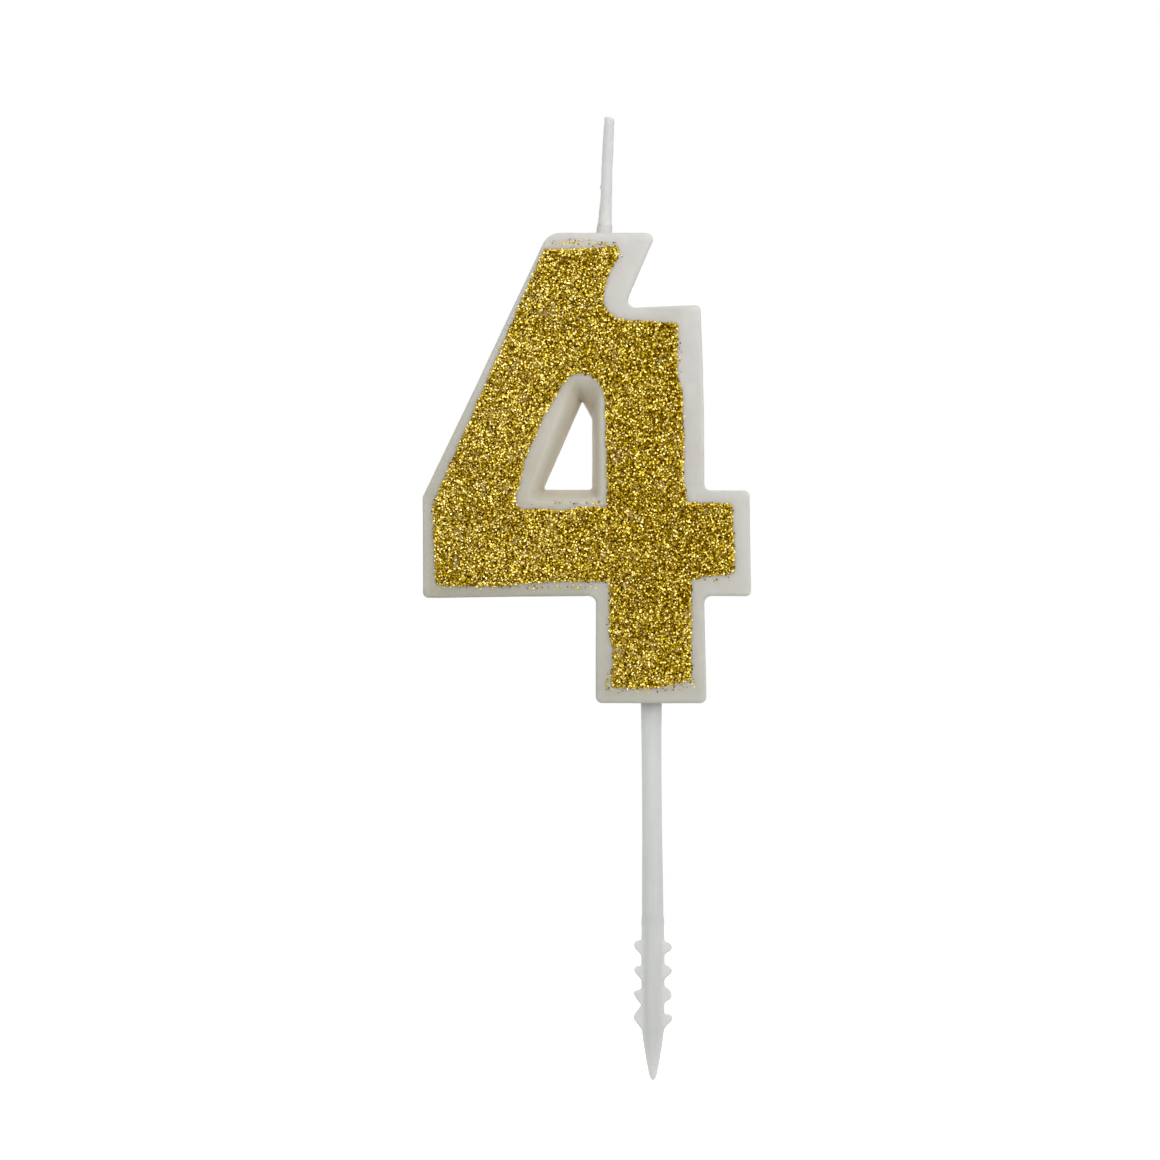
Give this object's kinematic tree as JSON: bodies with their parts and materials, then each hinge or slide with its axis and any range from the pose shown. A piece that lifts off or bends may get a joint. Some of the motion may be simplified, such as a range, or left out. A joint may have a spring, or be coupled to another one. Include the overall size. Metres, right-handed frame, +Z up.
{
  "type": "number candle",
  "caption": "Flat cast wax numeral candle with a gold glitter front, a waxed cotton wick in its top edge and a barbed plastic pick that holds it in a cake.",
  "frame": {"origin": "on the pick's axis at the underside of the numeral's foot, level with the cake's surface once the pick is pushed in", "axes": "+Z up along the pick towards the wick, +X to the right of the numeral, the glitter front faces -Y"},
  "size_m": [0.0489, 0.0084, 0.1444],
  "materials": {
    "wax": "off-white translucent paraffin wax, satin, softly rounded front edges",
    "pick_plastic": "translucent white moulded polypropylene, satin",
    "wick_cotton": "twisted white cotton",
    "wick_wax": "thin white wax coat over the cord",
    "glue": "clear adhesive film tinted by the flakes in it",
    "gold_glitter": "small gold metallised flakes lying at many angles"
  },
  "bodies": {
    "pick": {"pick": "pick_plastic"},
    "candle": {"wax_body": "wax", "wick_seal": "wax", "wick_core_root": "wick_cotton", "wick_coat_root": "wick_wax", "glue_film": "glue", "glitter_bed": "gold_glitter", "stray_flakes": "gold_glitter"},
    "wick": {"wick_core_tip": "wick_cotton", "wick_coat_tip": "wick_wax"}
  },
  "joints": [
    {"name": "candle_lift", "type": "slide", "parent": "pick", "child": "candle", "axis": [0, 0, 1], "range_m": [0, 0.024]},
    {"name": "wick_bend", "type": "hinge", "parent": "candle", "child": "wick", "pos_m": [-0.00705, 0, 0.0719], "axis": [0, 1, 0], "range_deg": [-60, 60]}
  ]
}
